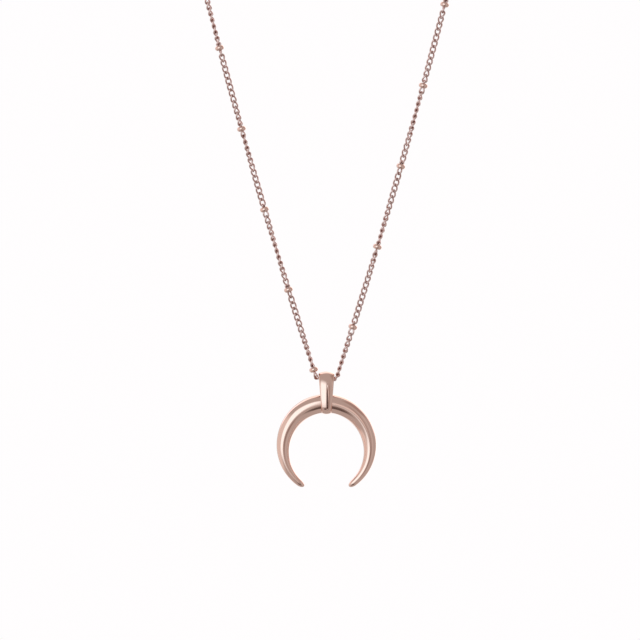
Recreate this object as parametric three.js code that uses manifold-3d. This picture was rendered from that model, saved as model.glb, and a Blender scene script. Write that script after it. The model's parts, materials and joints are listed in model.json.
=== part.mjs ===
// Pendant necklace: a fine curb chain with small rondelle beads carries a tapered open horn
// on a strap bail, and closes with a lobster clasp and a short extender.
// Millimetres. +X is the wearer's left, -Y is the front and +Z is up. The necklace hangs in the XZ
// plane, and its origin is under the middle of the clasp, where it hangs on a neck or a form.
import * as THREE from "three";
import { mergeVertices } from "three/addons/utils/BufferGeometryUtils.js";
import Module from "manifold-3d";

const wasm = await Module();
wasm.setup();

// ---- driving dimensions ----
const CLASP_THICKNESS = 2.9;
const CHAIN_PLANE_HEIGHT = CLASP_THICKNESS / 2; // height of the chain's middle line at the clasp

// Chain: how each side runs up from the middle of the bail
const RUN_RADIUS = 0.5;
const BAIL_HALF_SPAN = 1.36; // half of the straight bit of chain that lies in the bail
const BEND_RADIUS = 0.9; // tight bend just outside the bail
const FOOT_SLOPE = 3.07; // rise over run where a side leaves the bail
const CHAIN_SAG_LENGTH = 99.5; // sideways pull divided by the chain's weight per millimetre
const SIDE_LENGTH = 137.5; // freely hanging length of each side
const END_HALF_SPAN = 9; // from the middle of the clasp to the end of each side

// Chain: where it folds, and the clear gap there
const BEND_END = 3.0;
const JOIN_GAP = 0.3;
const FOLD_GAP = 0.6;
const FOLD_SPACING = 25.77; // three bead spacings, both sides counted
const FOLD_COUNT = 5;

// Beads
const BEAD_SPACING = 17.18;
const FIRST_LEFT_BEAD = 3.75;
const FIRST_RIGHT_BEAD = 12.95;
const BEADS_PER_SIDE = 11;
const BEAD_RADIUS = 0.93;
const BEAD_BORE_RADIUS = 0.62;
const BEAD_LENGTH = 1.0;
const BEAD_SHOULDER_RADIUS = 0.76; // where its end faces meet its belly
const BEAD_BELLY_LENGTH = 0.4; // of the widest part

// Horn: a round bar, thick at the top, that bends almost into a circle
const HORN_CENTRE_DROP = 13.63; // below the chain in the bail
const HORN_OUTER_RADIUS = 10.22;
const HORN_TOP_RISE = 0.23; // how much further out its top reaches than its sides
const HORN_TOP_THICKNESS = 3.85;
const HORN_TIP_THICKNESS = 1.3;
const HORN_TIP_ANGLE = THREE.MathUtils.degToRad(151.5); // measured from the top
const HORN_ROUNDED_TIP = THREE.MathUtils.degToRad(8);
const HORN_TAPER_ANGLE = THREE.MathUtils.degToRad(150); // where it is down to its tip thickness
const HORN_TAPER_POWER = 1.15;

// Bail: a domed strap closed round the chain above and the horn below
const BAIL_TOP = 1.45; // above the chain's middle line
const BAIL_TOP_RADIUS = 1.8;
const BAIL_FACE_RADIUS = 8; // of the slow curve down its front and its back
const BAIL_WALL = 0.64;
const BAIL_FOOT_WALL = 0.3;
const BAIL_TOP_WIDTH = 3.3;
const BAIL_FOOT_WIDTH = 2.0;
const BAIL_CROWN = 0.25; // how far the outer face is domed, over half the width
const BAIL_EDGE = 0.1; // rounding of the strap's inner edges
const SOLDER_GAP = 0.03;

// Clasp, seen from above: its eye is on the left and its hook's nose on the right. The slot is for
// the lever, whose gate closes the mouth.
const EYE = { x: -4.6, radius: 1.3, hole: 0.7, thickness: 1.0 };
const BLOCK = { x: -2.2, radius: 1.9, end: -2.0 };
const HOOK = { x: 2.9, radius: 2.4, thickness: 1.3 };
const HOOK_HOLE = { x: 0.9, radius: 1.1, noseRadius: 1.35 };
const MOUTH = { from: -0.6, to: 2.6, edge: -0.7 };
const SLOT = { from: -3.7, to: 0.6, back: 1.0, height: 2.0 };
const PIVOT = { x: -1.9, y: -0.75 };
const PIN_RADIUS = 0.35;
const PIN_RECESS = 0.05; // the pin's ends sit this far below the clasp's faces
const PIN_HOLE_RADIUS = 0.4;
const LEVER_HOLE_RADIUS = 0.46;
const LEVER_THICKNESS = 0.8;
const LEVER_BOSS_RADIUS = 0.85;
const LEVER_ARM_RADIUS = 0.6; // half width of the arms where they leave the boss
const GATE = { width: 0.85, y: -1.925, kneeX: -0.35, kneeRise: 0.12 };
const THUMB_TAB = { x: -3.3, y: -2.55, radius: 0.5 };
const SPRING = { wire: 0.09, radius: 0.62, turns: 1.5, pitch: 0.2, leg: 0.7, clearance: 0.06 };

// Rings and the extender
const LEFT_RING = { x: -6.28, radius: 1.45, wire: 0.3 };
const RIGHT_RING = { x: 5.64, radius: 1.9, wire: 0.3 };
const END_LINK = { x: 7.92, radius: 0.95, wire: 0.22 };
const LINK = { radius: 1.15, straight: 0.8, wire: 0.25, slack: 0.06 };
const EXTENDER_LINKS = 9;
const TAG = { radius: 3, thickness: 0.7, hole: 0.65, rim: 0.45 };

// How finely round things are divided
const RUN_SIDES = 8;
const BEND_STEP = 0.3; // length of chain per step in the bail, on the sides and over the top
const HANGING_STEP = 4.5;
const TOP_STEP = 3;
const WIRE_SIDES = 8;
const RING_STEPS = 20;
const BEAD_SIDES = 12;
const HOLE_SIDES = 20;
const PIN_SIDES = 16;
const SPRING_SIDES = 6;
const SPRING_STEPS = 36;
const TAG_SIDES = 40;
const MERGE_DISTANCE = 1e-5;
const HORN_SIDES = 20;
const HORN_STEPS = 40;
const TIP_STEPS = 5;
const BAIL_ARC_STEPS = 8;
const BAIL_CROWN_STEPS = 8;

// ---- materials ----
function metal(colour, roughness) {
  return new THREE.MeshStandardMaterial({ color: colour, roughness, metalness: 1 });
}
const roseGold = metal("#d9a48f", 0.12);
const chainGold = metal("#c99a83", 0.28);
const beadGold = metal("#d3a08a", 0.18);
const springSteel = metal("#b9b7b3", 0.3);

// ---- solids ----
const necklace = new THREE.Group();

function addPiece(name, geometry, material, parent = necklace) {
  const mesh = new THREE.Mesh(geometry, material.clone());
  mesh.name = name;
  parent.add(mesh);
  return mesh;
}

function toSolid(geometry) {
  const bare = geometry.clone();
  bare.deleteAttribute("normal");
  bare.deleteAttribute("uv");
  const merged = mergeVertices(bare, MERGE_DISTANCE);
  const vertProperties = new Float32Array(merged.attributes.position.array);
  const triVerts = new Uint32Array(merged.index.array);
  return new wasm.Manifold(new wasm.Mesh({ numProp: 3, vertProperties, triVerts }));
}

function toGeometry(solid) {
  const mesh = solid.getMesh();
  const geometry = new THREE.BufferGeometry();
  geometry.setAttribute("position", new THREE.BufferAttribute(mesh.vertProperties, mesh.numProp));
  geometry.setIndex(new THREE.BufferAttribute(mesh.triVerts, 1));
  const flat = geometry.toNonIndexed();
  flat.computeVertexNormals();
  return flat;
}

function circlePoints(x, y, radius, sides, from = 0, sweep = 2 * Math.PI) {
  const closed = Math.abs(sweep) >= 2 * Math.PI - 1e-9;
  const count = closed ? sides : sides + 1;
  return Array.from({ length: count }, (_, i) => {
    const angle = from + (sweep * i) / sides;
    return new THREE.Vector2(x + radius * Math.cos(angle), y + radius * Math.sin(angle));
  });
}

function discShape(x, y, radius, sides) {
  return new THREE.Shape(circlePoints(x, y, radius, sides));
}

// The outline of two discs and the straight tangents between them, the discs on one line along X.
function twoDiscShape(left, leftRadius, right, rightRadius, steps = 12) {
  const tilt = Math.acos((leftRadius - rightRadius) / (right - left));
  const nose = circlePoints(right, 0, rightRadius, steps, -tilt, 2 * tilt);
  const tail = circlePoints(left, 0, leftRadius, steps, tilt, 2 * (Math.PI - tilt));
  return new THREE.Shape([...nose, ...tail]);
}

function plate(shape, thickness) {
  const geometry = new THREE.ExtrudeGeometry(shape, { depth: thickness, bevelEnabled: false });
  return geometry.translate(0, 0, -thickness / 2);
}

function box(from, to) {
  const size = to.clone().sub(from);
  const middle = to.clone().add(from).multiplyScalar(0.5);
  return new THREE.BoxGeometry(size.x, size.y, size.z).translate(middle.x, middle.y, middle.z);
}

function tube(curve, steps, radius, sides) {
  return new THREE.ExtrudeGeometry(discShape(0, 0, radius, sides), {
    steps,
    extrudePath: curve,
    bevelEnabled: false,
  });
}

// A ring or a link of round wire that lies in XY. A straight part stretches it along X.
function wireLink(radius, wire, straight = 0) {
  const geometry = new THREE.TorusGeometry(radius, wire, WIRE_SIDES, RING_STEPS);
  geometry.rotateZ(Math.PI / RING_STEPS);
  const position = geometry.attributes.position;
  for (let i = 0; i < position.count; i++) {
    position.setX(i, position.getX(i) + (Math.sign(position.getX(i)) * straight) / 2);
  }
  return geometry;
}

// ---- the chain's route ----
const FOOT_ANGLE = Math.atan(FOOT_SLOPE);
const FLOOR_END = BAIL_HALF_SPAN;
const CORNER_END = FLOOR_END + BEND_RADIUS * FOOT_ANGLE;
const HANGING_END = CORNER_END + SIDE_LENGTH;
const TOP_SLOPE = FOOT_SLOPE + SIDE_LENGTH / CHAIN_SAG_LENGTH;
const TOP_ANGLE = Math.atan(TOP_SLOPE);

function hangingPoint(distance) {
  const slope = FOOT_SLOPE + distance / CHAIN_SAG_LENGTH;
  const across = Math.asinh(slope) - Math.asinh(FOOT_SLOPE);
  const up = Math.hypot(1, slope) - Math.hypot(1, FOOT_SLOPE);
  return new THREE.Vector2(
    FLOOR_END + BEND_RADIUS * Math.sin(FOOT_ANGLE) + CHAIN_SAG_LENGTH * across,
    BEND_RADIUS * (1 - Math.cos(FOOT_ANGLE)) + CHAIN_SAG_LENGTH * up,
  );
}

const HANGING_TOP = hangingPoint(SIDE_LENGTH);
const TOP_RADIUS = (HANGING_TOP.x - END_HALF_SPAN) / Math.sin(TOP_ANGLE);
const SIDE_END = HANGING_END + TOP_RADIUS * (Math.PI - TOP_ANGLE);
const TOP_CENTRE_RISE = HANGING_TOP.y + TOP_RADIUS * Math.cos(TOP_ANGLE);
const BAIL_HEIGHT = CHAIN_PLANE_HEIGHT - TOP_CENTRE_RISE - TOP_RADIUS; // the chain in the bail

// A point on one side of the chain. Distance is measured along it from the middle of the bail.
// Side is 1 for +X and -1 for -X.
function chainPoint(distance, side) {
  let across = distance;
  let up = 0;
  if (distance > HANGING_END) {
    const angle = TOP_ANGLE + (distance - HANGING_END) / TOP_RADIUS;
    across = END_HALF_SPAN + TOP_RADIUS * Math.sin(angle);
    up = TOP_CENTRE_RISE - TOP_RADIUS * Math.cos(angle);
  } else if (distance > CORNER_END) {
    const point = hangingPoint(distance - CORNER_END);
    across = point.x;
    up = point.y;
  } else if (distance > FLOOR_END) {
    const angle = (distance - FLOOR_END) / BEND_RADIUS;
    across = FLOOR_END + BEND_RADIUS * Math.sin(angle);
    up = BEND_RADIUS * (1 - Math.cos(angle));
  }
  return new THREE.Vector3(side * across, 0, BAIL_HEIGHT + up);
}

// A stretch of the chain. A distance below zero is on the -X side.
class ChainStretch extends THREE.Curve {
  constructor(from, to, side) {
    super();
    this.from = from;
    this.to = to;
    this.side = side;
  }

  getPoint(t) {
    const distance = THREE.MathUtils.lerp(this.from, this.to, t);
    return chainPoint(Math.abs(distance), Math.sign(distance) * this.side || 1);
  }
}

function chainRun(from, to, side, stepLength) {
  const steps = Math.ceil((to - from) / stepLength);
  return tube(new ChainStretch(from, to, side), steps, RUN_RADIUS, RUN_SIDES);
}

const foldDistances = Array.from({ length: FOLD_COUNT }, (_, i) => (i + 1) * FOLD_SPACING);

function addChain() {
  addPiece("chain_in_bail", chainRun(-BEND_END, BEND_END, 1, BEND_STEP), chainGold);
  for (const [sideName, side] of [["left", -1], ["right", 1]]) {
    for (let i = 0; i < FOLD_COUNT; i++) {
      const from = i === 0 ? BEND_END + JOIN_GAP : foldDistances[i - 1] + FOLD_GAP / 2;
      const to = foldDistances[i] - FOLD_GAP / 2;
      addPiece(`chain_${sideName}_${i + 1}`, chainRun(from, to, side, HANGING_STEP), chainGold);
    }
    const from = foldDistances[FOLD_COUNT - 1] + FOLD_GAP / 2;
    const run = toSolid(chainRun(from, SIDE_END, side, TOP_STEP));
    const endLink = wireLink(END_LINK.radius, END_LINK.wire);
    endLink.translate(side * END_LINK.x, 0, CHAIN_PLANE_HEIGHT);
    addPiece(`chain_${sideName}_end`, toGeometry(run.add(toSolid(endLink))), chainGold);
  }
}

// ---- beads ----
function beadGeometry() {
  const half = BEAD_LENGTH / 2;
  const belly = BEAD_BELLY_LENGTH / 2;
  const profile = [
    new THREE.Vector2(BEAD_BORE_RADIUS, -half),
    new THREE.Vector2(BEAD_SHOULDER_RADIUS, -half),
    new THREE.Vector2(BEAD_RADIUS, -belly),
    new THREE.Vector2(BEAD_RADIUS, belly),
    new THREE.Vector2(BEAD_SHOULDER_RADIUS, half),
    new THREE.Vector2(BEAD_BORE_RADIUS, half),
    new THREE.Vector2(BEAD_BORE_RADIUS, -half),
  ];
  return new THREE.LatheGeometry(profile, BEAD_SIDES);
}

function addBeads() {
  const geometry = beadGeometry();
  const probe = 0.1;
  const firstBeads = [["left", -1, FIRST_LEFT_BEAD], ["right", 1, FIRST_RIGHT_BEAD]];
  for (const [sideName, side, first] of firstBeads) {
    for (let i = 0; i < BEADS_PER_SIDE; i++) {
      const distance = first + i * BEAD_SPACING;
      const along = chainPoint(distance + probe, side).sub(chainPoint(distance - probe, side));
      const bead = addPiece(`bead_${sideName}_${i + 1}`, geometry, beadGold);
      bead.quaternion.setFromUnitVectors(new THREE.Vector3(0, 1, 0), along.normalize());
      bead.position.copy(chainPoint(distance, side));
    }
  }
}

// ---- horn ----
function hornThickness(angle) {
  const turn = Math.min((angle / HORN_TAPER_ANGLE) * (Math.PI / 2), Math.PI / 2);
  const fullness = Math.pow(Math.cos(turn), HORN_TAPER_POWER);
  return HORN_TIP_THICKNESS + (HORN_TOP_THICKNESS - HORN_TIP_THICKNESS) * fullness;
}

function hornMiddleRadius(angle) {
  const rise = HORN_TOP_RISE * Math.max(0, Math.cos(angle)) ** 2;
  return HORN_OUTER_RADIUS + rise - hornThickness(angle) / 2;
}

// A spindle turned about Y, whose height is then read as an angle and bent round the horn's centre.
function hornGeometry(extra = 0) {
  const roundStart = HORN_TIP_ANGLE - HORN_ROUNDED_TIP;
  const profile = [];
  const addPoint = (angle, share) => {
    const radius = (hornThickness(Math.abs(angle)) / 2 + extra) * share;
    profile.push(new THREE.Vector2(radius, angle));
  };
  profile.push(new THREE.Vector2(0, -HORN_TIP_ANGLE));
  for (let i = 1; i < TIP_STEPS; i++) {
    const turn = (i / TIP_STEPS) * (Math.PI / 2);
    addPoint(-roundStart - HORN_ROUNDED_TIP * Math.cos(turn), Math.sin(turn));
  }
  for (let i = 0; i <= HORN_STEPS; i++) {
    addPoint(THREE.MathUtils.lerp(-roundStart, roundStart, i / HORN_STEPS), 1);
  }
  for (let i = TIP_STEPS - 1; i > 0; i--) {
    const turn = (i / TIP_STEPS) * (Math.PI / 2);
    addPoint(roundStart + HORN_ROUNDED_TIP * Math.cos(turn), Math.sin(turn));
  }
  profile.push(new THREE.Vector2(0, HORN_TIP_ANGLE));
  const geometry = new THREE.LatheGeometry(profile, HORN_SIDES);
  const position = geometry.attributes.position;
  for (let i = 0; i < position.count; i++) {
    const angle = position.getY(i);
    const radius = hornMiddleRadius(Math.abs(angle)) + position.getX(i);
    const depth = position.getZ(i);
    position.setXYZ(i, radius * Math.sin(angle), depth, radius * Math.cos(angle));
  }
  return geometry.translate(0, 0, BAIL_HEIGHT - HORN_CENTRE_DROP);
}

// ---- bail ----
// Its side view is made of arcs that meet smoothly: a tight one over the chain, one round the horn's
// bar, and a slow one down the front and another down the back. Heights are above the chain.
const BAIL_BAR_HEIGHT = hornMiddleRadius(0) - HORN_CENTRE_DROP;
const BAIL_FOOT_RADIUS = hornThickness(0) / 2 + BAIL_FOOT_WALL;
const BAIL_FOOT = BAIL_BAR_HEIGHT - BAIL_FOOT_RADIUS;
const BAIL_TOP_CENTRE = BAIL_TOP - BAIL_TOP_RADIUS;

// The middle of the front face's arc lies behind the bail, where both smaller arcs touch it.
function bailFaceCentre() {
  const toTop = BAIL_FACE_RADIUS - BAIL_TOP_RADIUS;
  const toFoot = BAIL_FACE_RADIUS - BAIL_FOOT_RADIUS;
  const spread = BAIL_TOP_CENTRE - BAIL_BAR_HEIGHT;
  const aboveBar = (spread ** 2 + toFoot ** 2 - toTop ** 2) / (2 * spread);
  return { depth: Math.sqrt(toFoot ** 2 - aboveBar ** 2), height: BAIL_BAR_HEIGHT + aboveBar };
}

// Outward directions round the side view, closest together where the arcs are tight.
function bailDirections() {
  const face = bailFaceCentre();
  const top = Math.atan2(BAIL_TOP_CENTRE - face.height, face.depth);
  const foot = Math.atan2(BAIL_BAR_HEIGHT - face.height, face.depth);
  const ends = [foot, top, Math.PI - top, Math.PI - foot, 2 * Math.PI + foot];
  return ends.slice(1).flatMap((end, arc) =>
    Array.from({ length: BAIL_ARC_STEPS }, (_, i) => ({
      arc,
      angle: THREE.MathUtils.lerp(ends[arc], end, i / BAIL_ARC_STEPS),
    })),
  );
}

function bailOutline() {
  const face = bailFaceCentre();
  const arcs = [
    { depth: -face.depth, height: face.height, radius: BAIL_FACE_RADIUS },
    { depth: 0, height: BAIL_TOP_CENTRE, radius: BAIL_TOP_RADIUS },
    { depth: face.depth, height: face.height, radius: BAIL_FACE_RADIUS },
    { depth: 0, height: BAIL_BAR_HEIGHT, radius: BAIL_FOOT_RADIUS },
  ];
  return bailDirections().map(({ arc, angle }) => {
    const out = new THREE.Vector2(Math.cos(angle), Math.sin(angle));
    const centre = new THREE.Vector2(arcs[arc].depth, arcs[arc].height);
    return { out, point: centre.addScaledVector(out, arcs[arc].radius) };
  });
}

// The strap's section for a width and a wall of one: X is from the inner face out, Y is across.
function bailSection() {
  const edge = BAIL_EDGE / BAIL_WALL;
  const crown = (BAIL_CROWN * BAIL_TOP_WIDTH) / 2 / BAIL_WALL;
  const points = [new THREE.Vector2(0, -1 + edge), new THREE.Vector2(edge, -1)];
  for (let i = 0; i <= BAIL_CROWN_STEPS; i++) {
    const across = -1 + (2 * i) / BAIL_CROWN_STEPS;
    points.push(new THREE.Vector2(1 - crown * across ** 2, across));
  }
  points.push(new THREE.Vector2(edge, 1), new THREE.Vector2(0, 1 - edge), points[0].clone());
  return points;
}

// The section is turned into a ring, which is then led round the side view.
function bailGeometry() {
  const outline = bailOutline();
  const hub = 1;
  const profile = bailSection().map((point) => new THREE.Vector2(hub + point.x, point.y));
  const geometry = new THREE.LatheGeometry(profile, outline.length);
  const position = geometry.attributes.position;
  for (let i = 0; i < position.count; i++) {
    const station = outline[Math.floor(i / profile.length) % outline.length];
    const share = Math.hypot(position.getX(i), position.getZ(i)) - hub;
    const rise = (station.point.y - BAIL_FOOT) / (BAIL_TOP - BAIL_FOOT);
    const wall = THREE.MathUtils.lerp(BAIL_FOOT_WALL, BAIL_WALL, rise);
    const halfWidth = THREE.MathUtils.lerp(BAIL_FOOT_WIDTH, BAIL_TOP_WIDTH, rise) / 2;
    const place = station.point.clone().addScaledVector(station.out, wall * (share - 1));
    position.setXYZ(i, position.getY(i) * halfWidth, place.x, BAIL_HEIGHT + place.y);
  }
  return toGeometry(toSolid(geometry).subtract(toSolid(hornGeometry(SOLDER_GAP))));
}

// ---- clasp ----
function claspBodyGeometry() {
  const blockOutline = twoDiscShape(BLOCK.x, BLOCK.radius, BLOCK.end, BLOCK.radius);
  const block = toSolid(plate(blockOutline, CLASP_THICKNESS));
  const hookOutline = twoDiscShape(BLOCK.x, BLOCK.radius, HOOK.x, HOOK.radius);
  const hook = toSolid(plate(hookOutline, HOOK.thickness));
  const eye = toSolid(plate(discShape(EYE.x, 0, EYE.radius, HOLE_SIDES), EYE.thickness));
  const eyeHole = toSolid(plate(discShape(EYE.x, 0, EYE.hole, HOLE_SIDES), CLASP_THICKNESS));
  const holeOutline = twoDiscShape(HOOK_HOLE.x, HOOK_HOLE.radius, HOOK.x, HOOK_HOLE.noseRadius);
  const hole = toSolid(plate(holeOutline, 2 * CLASP_THICKNESS));
  const mouth = toSolid(box(
    new THREE.Vector3(MOUTH.from, -2 * HOOK.radius, -CLASP_THICKNESS),
    new THREE.Vector3(MOUTH.to, MOUTH.edge, CLASP_THICKNESS),
  ));
  const slot = toSolid(box(
    new THREE.Vector3(SLOT.from, -2 * HOOK.radius, -SLOT.height / 2),
    new THREE.Vector3(SLOT.to, SLOT.back, SLOT.height / 2),
  ));
  const pinOutline = discShape(PIVOT.x, PIVOT.y, PIN_HOLE_RADIUS, HOLE_SIDES);
  const pinHole = toSolid(plate(pinOutline, 2 * CLASP_THICKNESS));
  const whole = block.add(hook).add(eye);
  const cuts = [eyeHole, hole, mouth, slot, pinHole];
  return toGeometry(cuts.reduce((left, cut) => left.subtract(cut), whole));
}

// A flat bar with round ends, from one point (x, y, radius) to another.
function leverBar(from, to) {
  const across = to.x - from.x;
  const up = to.y - from.y;
  const shape = twoDiscShape(0, from.radius, Math.hypot(across, up), to.radius);
  const geometry = plate(shape, LEVER_THICKNESS).rotateZ(Math.atan2(up, across));
  return toSolid(geometry.translate(from.x, from.y, 0));
}

function leverGeometry() {
  const bossOutline = discShape(PIVOT.x, PIVOT.y, LEVER_BOSS_RADIUS, HOLE_SIDES);
  const holeOutline = discShape(PIVOT.x, PIVOT.y, LEVER_HOLE_RADIUS, HOLE_SIDES);
  const root = { ...PIVOT, radius: LEVER_ARM_RADIUS };
  const knee = { x: GATE.kneeX, y: GATE.y + GATE.kneeRise, radius: GATE.width / 2 };
  const gateEnd = MOUTH.to - JOIN_GAP - GATE.width / 2;
  const arm = leverBar(root, knee);
  const gate = leverBar(knee, { x: gateEnd, y: GATE.y, radius: GATE.width / 2 });
  const tab = leverBar(root, THUMB_TAB);
  const boss = toSolid(plate(bossOutline, LEVER_THICKNESS));
  const hole = toSolid(plate(holeOutline, CLASP_THICKNESS));
  return toGeometry(boss.add(arm).add(gate).add(tab).subtract(hole));
}

// A short coil round the pin, with a straight leg at each end.
class SpringCurve extends THREE.Curve {
  getPoint(t) {
    const coil = 2 * Math.PI * SPRING.radius * SPRING.turns;
    const total = coil + 2 * SPRING.leg;
    const along = THREE.MathUtils.clamp(t * total - SPRING.leg, 0, coil);
    const past = t * total - SPRING.leg - along;
    const angle = (along / coil) * SPRING.turns * 2 * Math.PI;
    const bottom = LEVER_THICKNESS / 2 + SPRING.clearance + SPRING.wire;
    return new THREE.Vector3(
      SPRING.radius * Math.cos(angle) - past * Math.sin(angle),
      SPRING.radius * Math.sin(angle) + past * Math.cos(angle),
      bottom + (angle / (2 * Math.PI)) * SPRING.pitch,
    );
  }
}

function addClasp() {
  const clasp = new THREE.Group();
  clasp.position.set(0, 0, CHAIN_PLANE_HEIGHT);
  necklace.add(clasp);
  const pinLength = CLASP_THICKNESS - 2 * PIN_RECESS;
  const pinShape = new THREE.CylinderGeometry(PIN_RADIUS, PIN_RADIUS, pinLength, PIN_SIDES);
  const springShape = tube(new SpringCurve(), SPRING_STEPS, SPRING.wire, SPRING_SIDES);
  addPiece("clasp_body", claspBodyGeometry(), roseGold, clasp);
  addPiece("clasp_lever", leverGeometry(), roseGold, clasp);
  const pin = addPiece("clasp_pin", pinShape, roseGold, clasp);
  pin.rotation.x = Math.PI / 2;
  pin.position.set(PIVOT.x, PIVOT.y, 0);
  const spring = addPiece("clasp_spring", springShape, springSteel, clasp);
  spring.position.set(PIVOT.x, PIVOT.y, 0);
  for (const [name, ring] of [["jump_ring_left", LEFT_RING], ["clasp_ring_right", RIGHT_RING]]) {
    const mesh = addPiece(name, wireLink(ring.radius, ring.wire), roseGold, clasp);
    mesh.rotation.x = Math.PI / 2;
    mesh.position.x = ring.x;
  }
}

// ---- extender ----
function addExtender() {
  const ringBottom = CHAIN_PLANE_HEIGHT - (RIGHT_RING.radius - RIGHT_RING.wire);
  const halfLength = LINK.radius + LINK.straight / 2;
  const pitch = 2 * (halfLength - LINK.wire) - LINK.slack;
  const firstCentre = ringBottom + LINK.wire + LINK.slack / 2 - halfLength;
  for (let i = 0; i < EXTENDER_LINKS; i++) {
    const geometry = wireLink(LINK.radius, LINK.wire, LINK.straight).rotateY(Math.PI / 2);
    const link = addPiece(`extender_link_${i + 1}`, geometry, roseGold);
    link.rotation.z = i % 2 === 0 ? 0 : Math.PI / 2;
    link.position.set(RIGHT_RING.x, 0, firstCentre - i * pitch);
  }
  const lastBar = firstCentre - (EXTENDER_LINKS - 1) * pitch - halfLength;
  const holeHeight = lastBar - (TAG.hole - LINK.wire) + LINK.slack / 2;
  const discHeight = holeHeight + TAG.hole + TAG.rim - TAG.radius;
  const shape = discShape(0, 0, TAG.radius, TAG_SIDES);
  const holeOutline = circlePoints(0, holeHeight - discHeight, TAG.hole, HOLE_SIDES);
  shape.holes.push(new THREE.Path(holeOutline));
  const tag = addPiece("extender_tag", plate(shape, TAG.thickness), roseGold);
  tag.rotation.x = Math.PI / 2;
  tag.position.set(RIGHT_RING.x, 0, discHeight);
}

addPiece("horn", hornGeometry(), roseGold);
addPiece("bail", bailGeometry(), roseGold);
addChain();
addBeads();
addClasp();
addExtender();

export default necklace;
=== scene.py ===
"""Rose-gold pendant necklace: fine curb chain with rondelle beads, tapered horn on a strap bail.

Everything is in metres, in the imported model's frame: +X right, -Y front, +Z up, with the origin
under the middle of the clasp. The chain's route and the horn repeat the model's own formulas.
"""
import json
import math

import bmesh
import bpy
import numpy as np
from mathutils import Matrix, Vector


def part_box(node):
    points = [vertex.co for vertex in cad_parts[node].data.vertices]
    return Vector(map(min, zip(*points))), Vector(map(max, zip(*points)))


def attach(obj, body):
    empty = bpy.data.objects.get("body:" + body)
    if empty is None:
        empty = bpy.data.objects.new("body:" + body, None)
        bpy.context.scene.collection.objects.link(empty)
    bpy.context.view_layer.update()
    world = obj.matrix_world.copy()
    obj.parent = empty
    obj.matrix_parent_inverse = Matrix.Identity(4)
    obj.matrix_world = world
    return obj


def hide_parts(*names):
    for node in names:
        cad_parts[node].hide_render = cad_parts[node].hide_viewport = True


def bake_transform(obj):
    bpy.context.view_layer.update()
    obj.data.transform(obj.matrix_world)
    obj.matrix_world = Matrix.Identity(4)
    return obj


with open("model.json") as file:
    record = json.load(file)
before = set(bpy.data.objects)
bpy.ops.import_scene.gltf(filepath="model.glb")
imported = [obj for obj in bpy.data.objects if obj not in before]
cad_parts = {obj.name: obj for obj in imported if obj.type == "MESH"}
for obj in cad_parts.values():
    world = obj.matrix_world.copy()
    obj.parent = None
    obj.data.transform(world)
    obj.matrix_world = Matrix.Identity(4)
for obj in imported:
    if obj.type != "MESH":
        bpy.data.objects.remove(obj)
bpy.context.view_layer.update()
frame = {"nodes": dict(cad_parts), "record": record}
MM = 0.001

JOINTS = {joint["name"]: joint for joint in frame["record"]["behaviour"]["joints"]}
BODY_OF = {
    node: body for body, nodes in frame["record"]["behaviour"]["bodies"].items() for node in nodes
}
BORE_HEIGHT = JOINTS["pendant_swing"]["pos_m"][2]  # the chain's middle line in the bail
CHAIN_PLANE_HEIGHT = sum(corner[2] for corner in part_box("clasp_body")) / 2

# ---- the chain's route, as in the model ----
BAIL_HALF_SPAN = 1.36 * MM
BEND_RADIUS = 0.9 * MM
FOOT_SLOPE = 3.07
CHAIN_SAG_LENGTH = 99.5 * MM
SIDE_LENGTH = 137.5 * MM
END_HALF_SPAN = 9 * MM
FOLD_SPACING = 25.77 * MM
FOLD_COUNT = 5
BEAD_SPACING = 17.18 * MM
FIRST_BEAD = {"left": 3.75 * MM, "right": 12.95 * MM}
BEADS_PER_SIDE = 11
DIRECTION_REACH = 0.4 * MM  # each way, to find which way the route points
SIDES = {"left": -1, "right": 1}

FOOT_ANGLE = math.atan(FOOT_SLOPE)
CORNER_END = BAIL_HALF_SPAN + BEND_RADIUS * FOOT_ANGLE
HANGING_END = CORNER_END + SIDE_LENGTH
TOP_ANGLE = math.atan(FOOT_SLOPE + SIDE_LENGTH / CHAIN_SAG_LENGTH)


def hanging_point(distance):
    slope = FOOT_SLOPE + distance / CHAIN_SAG_LENGTH
    across = math.asinh(slope) - math.asinh(FOOT_SLOPE)
    up = math.hypot(1, slope) - math.hypot(1, FOOT_SLOPE)
    return (
        BAIL_HALF_SPAN + BEND_RADIUS * math.sin(FOOT_ANGLE) + CHAIN_SAG_LENGTH * across,
        BEND_RADIUS * (1 - math.cos(FOOT_ANGLE)) + CHAIN_SAG_LENGTH * up,
    )


HANGING_TOP = hanging_point(SIDE_LENGTH)
TOP_RADIUS = (HANGING_TOP[0] - END_HALF_SPAN) / math.sin(TOP_ANGLE)
SIDE_END = HANGING_END + TOP_RADIUS * (math.pi - TOP_ANGLE)
TOP_CENTRE_RISE = HANGING_TOP[1] + TOP_RADIUS * math.cos(TOP_ANGLE)


def chain_point(distance):
    """A point of the route. Distance runs from the middle of the bail, below zero on the -X side."""
    side = math.copysign(1, distance)
    distance = abs(distance)
    across, up = distance, 0.0
    if distance > SIDE_END:
        across = END_HALF_SPAN - (distance - SIDE_END)
        up = TOP_CENTRE_RISE + TOP_RADIUS
    elif distance > HANGING_END:
        angle = TOP_ANGLE + (distance - HANGING_END) / TOP_RADIUS
        across = END_HALF_SPAN + TOP_RADIUS * math.sin(angle)
        up = TOP_CENTRE_RISE - TOP_RADIUS * math.cos(angle)
    elif distance > CORNER_END:
        across, up = hanging_point(distance - CORNER_END)
    elif distance > BAIL_HALF_SPAN:
        angle = (distance - BAIL_HALF_SPAN) / BEND_RADIUS
        across = BAIL_HALF_SPAN + BEND_RADIUS * math.sin(angle)
        up = BEND_RADIUS * (1 - math.cos(angle))
    return np.array((side * across, 0.0, BORE_HEIGHT + up))


def chain_direction(distance):
    step = chain_point(distance + DIRECTION_REACH) - chain_point(distance - DIRECTION_REACH)
    return step / np.linalg.norm(step)


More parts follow.
